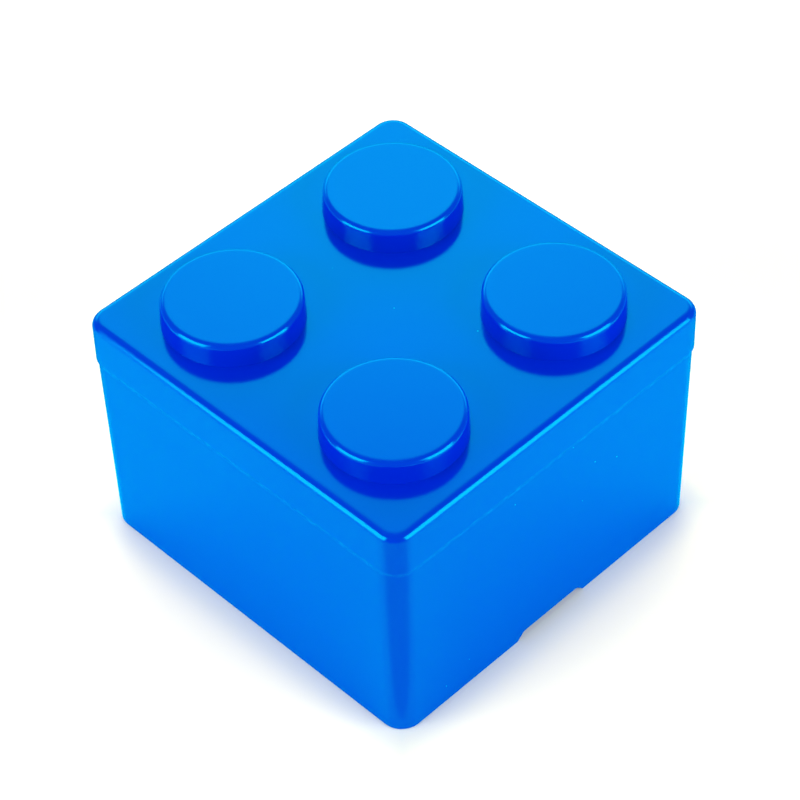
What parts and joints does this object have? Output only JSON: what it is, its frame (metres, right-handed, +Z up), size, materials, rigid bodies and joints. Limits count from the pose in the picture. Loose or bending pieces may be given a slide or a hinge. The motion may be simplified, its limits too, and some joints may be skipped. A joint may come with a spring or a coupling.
{
  "type": "stackable storage box",
  "caption": "Square building-brick shaped storage box in glossy blue plastic: an open bin and a lift-off lid with raised round studs that fit sockets under the next box.",
  "frame": {"origin": "middle of the plane that the box stands on, at the lower edge of the bin's foot", "axes": "+Z up, the way the lid lifts off; -Y is the front, the side of one of the two finger notches; +X is to the right seen from the front"},
  "size_m": [0.0802, 0.0802, 0.0576],
  "materials": {
    "bin_plastic": "injection moulded, polished",
    "lid_plastic": "injection moulded, polished"
  },
  "bodies": {
    "bin": {"bin": "bin_plastic"},
    "lid": {"lid": "lid_plastic"}
  },
  "joints": [
    {"name": "lid_lift", "type": "slide", "parent": "bin", "child": "lid", "axis": [0, 0, 1], "range_m": [0, 0.06]}
  ]
}
